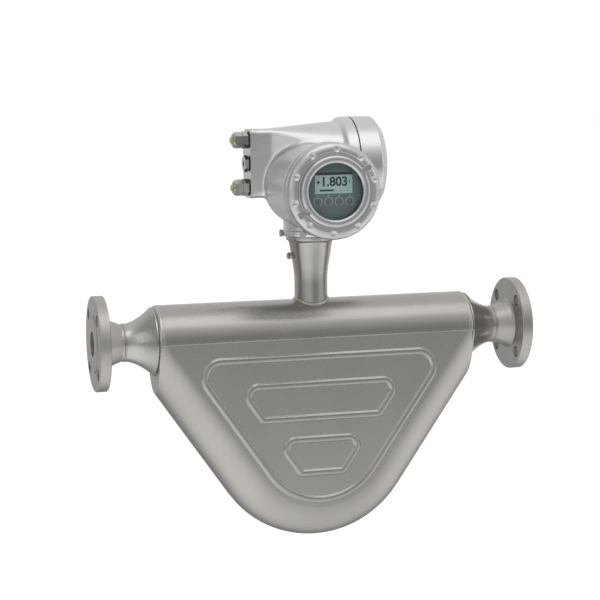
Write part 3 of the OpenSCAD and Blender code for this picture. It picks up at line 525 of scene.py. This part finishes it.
long_in, long_top, long_corner, long_bend = 0.0122, -0.03, 0.0268, 0.1028
short_in, short_corner = 0.0536, 0.007
beads = (((on_slope(long_in, long_top), long_top, long_corner),
          (-on_slope(long_in, long_top), long_top, long_corner),
          (0, -(edge_line - long_in) / math.cos(slope), long_bend)),
         four_corners(short_in, -0.074, -0.129, 0.016, short_corner),
         four_corners(short_in, -0.1645, -0.2195, 0.015, short_corner))
for side, name in ((-1, "front_beads"), (1, "back_beads")):
    bm = bmesh.new()
    for corners in beads:
        pressed_bead(bm, corners, side)
    finished(name, mesh_of(bm, name), casing_steel, "sensor")


# ---- Measuring tubes ---------------------------------------------------------
# Two thin-walled tubes, drawn and bent to a V side by side inside the casing.
# They are bright from drawing and brazed into the splitters at both ends.

tube_steel = metal("tube_steel", (0.5, 0.49, 0.47), 0.25, 0.05, grain_depth=0.000001)
dress(tube_steel, "measuring_tube_front", "measuring_tube_back")


# ---- Sensors inside the casing -----------------------------------------------
# Copper coils wound on formers, with magnets that reach into them and swing with the
# tubes. A small temperature sensor sits on a tube and glass seals the wires in the stem.


def plain(name, colour, rough, variation=0.1):
    """A moulded or painted finish with a faint grain."""
    material = metal(name, colour, rough, variation, 600, grain_depth=0.00003)
    material.node_tree.nodes["Principled BSDF"].inputs["Metallic"].default_value = 0
    return material


copper_coil = plain("copper_coil", (0.45, 0.2, 0.08), 0.4)
dress(copper_coil, "drive_coil", "inlet_sensor_coil", "outlet_sensor_coil")
magnet_steel = metal("magnet_steel", (0.4, 0.4, 0.41), 0.3)
dress(magnet_steel, "drive_magnet", "inlet_sensor_magnet", "outlet_sensor_magnet")
black_plastic = plain("black_plastic", (0.022, 0.022, 0.023), 0.45)
dress(black_plastic, "temperature_sensor")
glass_seal = plain("glass_seal", (0.1, 0.2, 0.2), 0.2)
dress(glass_seal, "feedthrough")


# ---- Transmitter housing and terminal cover ----------------------------------
# An investment-cast stainless housing, fine blasted, with a screwed cover on its side.
# Its middle has the casting's soft blends, which are rebuilt in small facets and relaxed,
# and the machined ends, the collar and the gland face stay exact.

cast_steel = metal("cast_steel", (0.65, 0.65, 0.645), 0.32, 0.03, blasted, grain_depth=0.0000008)
dress(cast_steel, "transmitter_housing", "display_cover", "terminal_cover")
display_z = 0.24
display_seam = 0.126
terminal_seam = 0.078


def clip(bm, point, normal):
    """Keeps what lies behind a plane and closes the cut."""
    cut = bmesh.ops.bisect_plane(bm, geom=bm.verts[:] + bm.edges[:] + bm.faces[:], dist=1e-7,
                                 plane_co=point, plane_no=normal, clear_outer=True)["geom_cut"]
    edges = [part for part in cut if isinstance(part, bmesh.types.BMEdge)]
    bmesh.ops.triangle_fill(bm, edges=edges, use_beauty=True)


def merged_copy(node):
    """A solid's mesh in its place, as a bmesh with its doubles merged."""
    bm = bmesh.new()
    bm.from_mesh(node.data)
    bm.transform(node.matrix_world)
    bmesh.ops.remove_doubles(bm, verts=bm.verts, dist=1e-6)
    return bm


# The planes that part the middle from the display end, the terminal end, the collar and
# the gland face, each as a point and an outward direction.
blend_planes = (((0, 0.022 - display_seam, 0), (0, -1, 0)),
                ((pipe_mid + terminal_seam - 0.009, 0, 0), (1, 0, 0)),
                ((0, 0, 0.172), (0, 0, -1)),
                ((pipe_mid - 0.0875, 0, 0), (-1, 0, 0)))
facet_size, relax_turns = 0.0018, 22
kept_by_planes, bore_radius, bore_end = 0.004, 0.0635, 0.022

# The whole casting in small facets, laid back onto the exact surface.
casting_solid = nodes["transmitter_housing"]
middle = bpy.data.meshes.new("housing_middle")
bm = merged_copy(casting_solid)
bm.to_mesh(middle)
bm.free()
holder = bpy.data.objects.new("housing_middle", middle)
bpy.context.collection.objects.link(holder)
facets = holder.modifiers.new("facets", "REMESH")
facets.mode = "VOXEL"
facets.voxel_size = facet_size
seen = holder.evaluated_get(bpy.context.evaluated_depsgraph_get())
middle = bpy.data.meshes.new_from_object(seen)
bpy.data.objects.remove(holder)
bm = bmesh.new()
bm.from_mesh(middle)
exact = merged_copy(casting_solid)
surface = BVHTree.FromBMesh(exact)
exact.free()
for vert in bm.verts:
    vert.co = surface.find_nearest(vert.co)[0]


def is_blended(co):
    """Whether a point lies in the middle, away from its planes and from the display's bore."""
    inside = min((Vector(point) - co).dot(Vector(normal)) for point, normal in blend_planes)
    across = Vector((co.x - pipe_mid, co.z - display_z)).length
    in_bore = across < bore_radius and co.y < bore_end
    return inside >= kept_by_planes and not in_bore


# The middle is relaxed and cut out along the planes.
relaxed = [vert for vert in bm.verts if is_blended(vert.co)]
for turn in range(relax_turns):
    bmesh.ops.smooth_vert(bm, verts=relaxed, factor=0.5, use_axis_x=True, use_axis_y=True, use_axis_z=True)
for point, normal in blend_planes:
    clip(bm, point, normal)

# The middle and the exact ends together are the casting.
housing = bpy.data.meshes.new("housing_casting")
whole = bmesh.new()
for index, (point, normal) in enumerate(blend_planes):
    end = merged_copy(casting_solid)
    clip(end, point, [-part for part in normal])
    for earlier, outward in blend_planes[:index]:
        clip(end, earlier, outward)
    end.to_mesh(housing)
    whole.from_mesh(housing)
    end.free()
bm.to_mesh(housing)
whole.from_mesh(housing)
bm.free()
whole.to_mesh(housing)
whole.free()
casting = finished("housing_casting", housing, cast_steel, "head")
housing.set_sharp_from_angle(angle=math.radians(35))
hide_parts("transmitter_housing")


# ---- Screws and seals --------------------------------------------------------
# Bright stainless screws in the collar, the cover's lock, the stem and the terminals.
# Black rubber rings and washers seal the covers, the collar and the cable entries.

screw_steel = metal("screw_steel", (0.45, 0.45, 0.44), 0.25, grain_depth=0.000001)
dress(screw_steel, "collar_screws", "cover_lock_screw", "ground_terminal", "terminal_screws")
black_rubber = plain("black_rubber", (0.018, 0.018, 0.018), 0.6)
dress(black_rubber, "display_cover_oring", "terminal_cover_oring", "collar_seal", "blind_plug_oring",
      "upper_gland_washer", "lower_gland_washer", "upper_gland_seal", "lower_gland_seal")


# ---- Display cover -----------------------------------------------------------
# A cast cover that screws onto the display barrel and holds the window, turned with a
# full rounded shoulder and a raised rim. Ten dimples stand round it, with two slots for
# a spanner.

cover_steel = metal("cover_steel", (0.56, 0.56, 0.555), 0.31, 0.03, blasted, grain_depth=0.0000004)
cover_base = display_seam + 0.0004
# The profile as (radius, height): the inside, the shoulder's arc, and the cove up to the rim.
turned_inside = ((0.0435, 0.0215), (0.05, 0.0215), (0.05, 0.012), (0.051, 0.01), (0.051, 0.013),
                 (0.0693, 0.013), (0.0693, 0), (0.0705, 0), (0.0705, 0.0026), (0.0741, 0.0026),
                 (0.0741, 0), (0.0755, 0), (0.0755, 0.004))
shoulder_radius, shoulder_base = 0.062, 0.0085
shoulder_across, shoulder_high = 0.0135, 0.0103
shoulder = [(shoulder_radius + shoulder_across * math.cos(math.radians(a)),
             shoulder_base + shoulder_high * math.sin(math.radians(a))) for a in range(0, 91, 5)]
cove = [(0.0611, 0.0186), (0.0603, 0.0182), (0.0596, 0.0176), (0.0589, 0.0171), (0.0582, 0.0169),
        (0.0576, 0.0171), (0.0571, 0.0177),
        (0.0567, 0.0186), (0.0564, 0.0198), (0.056, 0.0212), (0.0554, 0.0226), (0.0546, 0.0237),
        (0.0536, 0.0245), (0.0525, 0.025), (0.0512, 0.0253), (0.0498, 0.0254), (0.0484, 0.0254),
        (0.0471, 0.0252), (0.046, 0.0248), (0.0449, 0.0241), (0.044, 0.0231)]
cover_profile = list(turned_inside) + shoulder + cove
first_cut = len(turned_inside) + 4
dimple_count, dimple_start = 10, 15
dimple_ring, dimple_radius, dimple_depth = 0.0655, 0.0052, 0.0027
slot_in, slot_out, slot_half, slot_floor, slot_flank = 0.0535, 0.0685, 0.0048, 0.0152, 0.0009
slot_turns = (math.radians(33), math.radians(213))
cover_steps = 480


def cut_in(radius, angle, height):
    """Height of the cover's face with its dimples and slots."""
    x, z = radius * math.cos(angle), radius * math.sin(angle)
    for dimple in range(dimple_count):
        turn = math.radians(dimple_start + 360 / dimple_count * dimple)
        away = math.hypot(x - dimple_ring * math.cos(turn), z - dimple_ring * math.sin(turn)) / dimple_radius
        if away < 1:
            height -= dimple_depth * (1 - away ** 3)
    for turn in slot_turns:
        along = x * math.cos(turn) + z * math.sin(turn)
        across = abs(z * math.cos(turn) - x * math.sin(turn))
        inside = min(along - slot_in, slot_out - along, slot_half - across) / slot_flank
        share = min(max(inside + 0.5, 0), 1)
        if along > 0 and height > slot_floor:
            height += (slot_floor - height) * share
    return height


bm = bmesh.new()
rows = []
for step in range(cover_steps):
    angle = math.tau * step / cover_steps
    row = []
    for index, (radius, height) in enumerate(cover_profile):
        if index >= first_cut:
            height = cut_in(radius, angle, height)
        row.append(bm.verts.new((pipe_mid + radius * math.cos(angle), -cover_base - height,
                                 display_z + radius * math.sin(angle))))
    rows.append(row)
for row, after in zip(rows, rows[1:] + rows[:1]):
    for i in range(len(row)):
        j = (i + 1) % len(row)
        bm.faces.new((row[i], row[j], after[j], after[i]))
cover_mesh = mesh_of(bm, "display_cover_turned")
cover = finished("display_cover_turned", cover_mesh, cover_steel, "display_lid")
cover.data.set_sharp_from_angle(angle=math.radians(50))
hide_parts("display_cover")


# ---- Seam shadows ------------------------------------------------------------
# Flat rings in black rubber's finish stand in the seams between the housing and its two covers:
# painted shade, a dark line where the seams fall into shadow.
# They stay on the housing when a cover is screwed off.

display_centre = (pipe_mid, 0, display_z)
terminal_centre = (pipe_mid, 0.045, 0.272)
gasket_width, gasket_steps = 0.005, 144


def gasket(name, centre, axis, seam, radius, start, end):
    """A ring round an axis, from a start to an end on both sides of its seam."""
    bm = bmesh.new()
    inner = radius - gasket_width
    corners = [bm.verts.new(Vector((r, 0, along))) for r, along in
               ((inner, start), (radius, start), (radius, end), (inner, end))]
    edges = [bm.edges.new((corners[i], corners[(i + 1) % 4])) for i in range(4)]
    bmesh.ops.spin(bm, geom=corners + edges, cent=(0, 0, 0), axis=(0, 0, 1), angle=math.tau,
                   steps=gasket_steps, use_merge=True)
    turn = Vector((0, 0, 1)).rotation_difference(Vector(axis)).to_matrix()
    bmesh.ops.rotate(bm, verts=bm.verts, cent=(0, 0, 0), matrix=turn)
    bmesh.ops.translate(bm, verts=bm.verts, vec=Vector(centre) + Vector(axis) * seam)
    finished(name, mesh_of(bm, name), black_rubber, "head", False)


# Painted shade: a dark ring in each seam stands in for the shadow that falls into it.
gasket("display_seam_shadow", display_centre, (0, -1, 0), display_seam, 0.0756, -0.0004, 0.00035)
gasket("terminal_seam_shadow", terminal_centre, (1, 0, 0), terminal_seam, 0.0776, -0.001, 0.0011)


# ---- Electronics -------------------------------------------------------------
# A black plastic cup inside the display barrel carries the circuit boards.
# A green terminal block stands behind the other cover.

carrier_plastic = plain("carrier_plastic", (0.03, 0.032, 0.035), 0.5)
dress(carrier_plastic, "electronics_carrier")
board_green = plain("board_green", (0.02, 0.11, 0.05), 0.4)
dress(board_green, "circuit_boards", "terminal_block")


# ---- Display and touch keys --------------------------------------------------
# The display module's printed front, with a liquid-crystal panel and four optical keys.
# The panel shows a header, digits and a bar, and pale print rings the keys.

panel_print = plain("panel_print", (0.165, 0.225, 0.24), 0.45, 0.03)
dress(panel_print, "display_module")
key_print = plain("key_print", (0.15, 0.2, 0.215), 0.45, 0.03)
dress(key_print, "touch_keys")
lcd_pale = plain("lcd_pale", (0.62, 0.81, 0.82), 0.3, 0.02)
dress(lcd_pale, "lcd_panel")
lcd_dark = plain("lcd_dark", (0.02, 0.04, 0.05), 0.4, 0.03)
print_pale = plain("print_pale", (0.5, 0.58, 0.6), 0.5, 0.03)
lcd_low, lcd_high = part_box("lcd_panel")
key_low, key_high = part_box("touch_keys")
lcd_front = lcd_low.y
panel_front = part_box("display_module")[0].y
ink = 0.00006
ring_radius, ring_width, ring_gap, ring_steps = 0.0064, 0.0012, math.radians(52), 28


def plate(bm, low, high, front):
    """A thin plate of print standing just proud of a front, from low to high in X and Z."""
    made = bmesh.ops.create_cube(bm, size=1)
    size = (high[0] - low[0], ink, high[1] - low[1])
    bmesh.ops.scale(bm, vec=size, verts=made["verts"])
    bmesh.ops.translate(bm, verts=made["verts"],
                        vec=((low[0] + high[0]) / 2, front - ink / 2, (low[1] + high[1]) / 2))


def open_ring(bm, centre, radius, width, gap, front):
    """A flat ring in X and Z with a gap at its bottom, standing just proud of a front."""
    made = bmesh.ops.create_cube(bm, size=1)
    ends = [v for v in made["verts"] if v.co.z > 0]
    bmesh.ops.delete(bm, geom=[v for v in made["verts"] if v.co.z < 0], context="VERTS")
    bmesh.ops.scale(bm, vec=(width, ink, 1), verts=ends)
    bmesh.ops.translate(bm, verts=ends, vec=(radius, 0, -0.5))
    start = gap / 2 - math.pi / 2
    bmesh.ops.rotate(bm, verts=ends, cent=(0, 0, 0), matrix=Matrix.Rotation(-start, 3, "Y"))
    bmesh.ops.spin(bm, geom=ends[0].link_faces[:] + ends, cent=(0, 0, 0), axis=(0, -1, 0),
                   angle=math.tau - gap, steps=ring_steps, use_duplicate=False)
    ring = [v for v in bm.verts if not v.tag]
    bmesh.ops.translate(bm, verts=ring, vec=(centre[0], front - ink / 2, centre[1]))
    for v in ring:
        v.tag = True


bm = bmesh.new()
header = 0.0045
plate(bm, (lcd_low.x, lcd_high.z - header), (lcd_high.x, lcd_high.z), lcd_front)
# The bar, the line it fills and the line's ticks.
bar_x, bar_z = lcd_low.x + 0.0075, lcd_low.z + 0.0035
filled_x, full_x = lcd_low.x + 0.0295, lcd_low.x + 0.0525
bar_high, line_high = 0.0028, 0.0003
plate(bm, (bar_x, bar_z), (filled_x, bar_z + bar_high), lcd_front)
plate(bm, (filled_x, bar_z), (full_x, bar_z + line_high), lcd_front)
tick_count, tick_pitch, tick_width, tick_high = 5, 0.01115, 0.0005, 0.0036
for tick in range(tick_count):
    x = bar_x + tick * tick_pitch
    plate(bm, (x, bar_z), (x + tick_width, bar_z + tick_high), lcd_front)
# A plus sign in front of the digits and a small mark behind them.
plus_x, plus_z = lcd_low.x + 0.0052, lcd_low.z + 0.0175
for half_across, half_high in ((0.0029, 0.0009), (0.001, 0.0028)):
    plate(bm, (plus_x - half_across, plus_z - half_high), (plus_x + half_across, plus_z + half_high),
          lcd_front)
mark_x = lcd_high.x - 0.0042
for half_across, low_z, high_z in ((0.0014, 0.001, 0.0015), (0.0004, -0.0026, 0.0034)):
    plate(bm, (mark_x - half_across, plus_z + low_z), (mark_x + half_across, plus_z + high_z), lcd_front)
finished("display_marks", mesh_of(bm, "display_marks"), lcd_dark, "head", False)

digits_right, digits_up = 0.0008, 0.0178
words = bpy.data.curves.new("display_digits", "FONT")
words.body = "1.803"
words.align_x, words.align_y = "CENTER", "CENTER"
words.size = 0.0197
words.offset = 0.00062
words.extrude = ink / 2
shape = bpy.data.objects.new("display_digits", words)
digits = bpy.data.meshes.new_from_object(shape)
bpy.data.objects.remove(shape)
digits.name = "display_digits"
digits_place = (pipe_mid + digits_right, lcd_front - ink / 2, lcd_low.z + digits_up)
digits.transform(Matrix.Translation(digits_place) @ Matrix.Rotation(math.pi / 2, 4, "X"))
finished("display_digits", digits, lcd_dark, "head", False)

# Round each key an open ring on two feet, with a small arrow above it.
key_count, key_pitch = 4, 0.017
key_z = (key_low.z + key_high.z) / 2
key_places = [pipe_mid + (key - (key_count - 1) / 2) * key_pitch for key in range(key_count)]
ring_z = key_z + 0.001
foot_x, foot_z = ring_radius * math.sin(ring_gap / 2), ring_z - ring_radius * math.cos(ring_gap / 2)
foot_thick, foot_high = 0.0002, 0.0012
arrow_foot, arrow_step, arrow_tip = key_z + 0.0096, key_z + 0.0104, key_z + 0.0112
bm = bmesh.new()
for x in key_places:
    open_ring(bm, (x, ring_z), ring_radius, ring_width, ring_gap, panel_front)
for x in key_places:
    for side in (-1, 1):
        low_x = x + side * foot_x - foot_thick
        plate(bm, (low_x - foot_thick, foot_z - foot_high), (low_x + 3 * foot_thick, foot_z), panel_front)
    plate(bm, (x - 0.0017, arrow_foot), (x + 0.0017, arrow_step), panel_front)
    plate(bm, (x - 0.0009, arrow_step), (x + 0.0009, arrow_tip), panel_front)
finished("key_print_lines", mesh_of(bm, "key_print_lines"), print_pale, "head", False)


# ---- Window ------------------------------------------------------------------
# A flat disc of toughened glass, clamped in the display cover by a ring from behind.
# Light passes through it to the display without a hard shadow.

window = bpy.data.materials.new("window_glass")
window.use_nodes = True
tree = window.node_tree
shader = tree.nodes["Principled BSDF"]
shader.inputs["Base Color"].default_value = (0.95, 0.98, 0.97, 1)
shader.inputs["Roughness"].default_value = 0.02
shader.inputs["IOR"].default_value = 1.46
shader.inputs["Transmission Weight"].default_value = 1
clear = tree.nodes.new("ShaderNodeBsdfTransparent")
path = tree.nodes.new("ShaderNodeLightPath")
mix = tree.nodes.new("ShaderNodeMixShader")
tree.links.new(path.outputs["Is Shadow Ray"], mix.inputs[0])
tree.links.new(shader.outputs[0], mix.inputs[1])
tree.links.new(clear.outputs[0], mix.inputs[2])
tree.links.new(mix.outputs[0], tree.nodes["Material Output"].inputs["Surface"])
dress(window, "display_glass")
dress(black_plastic, "glass_ring")


# ---- Cable glands and blind plug ---------------------------------------------
# Two nickel-plated brass glands screw into the housing, with yellow dust plugs in them.
# A nickel-plated blind plug closes the entry between them.

nickel = metal("nickel_plate", (0.5, 0.49, 0.46), 0.14, grain_depth=0.000001)
dress(nickel, "blind_plug", "upper_gland_body", "upper_gland_nut", "lower_gland_body", "lower_gland_nut")
yellow_plastic = plain("yellow_plastic", (0.5, 0.54, 0.1), 0.35)
dress(yellow_plastic, "upper_dust_plug", "lower_dust_plug")
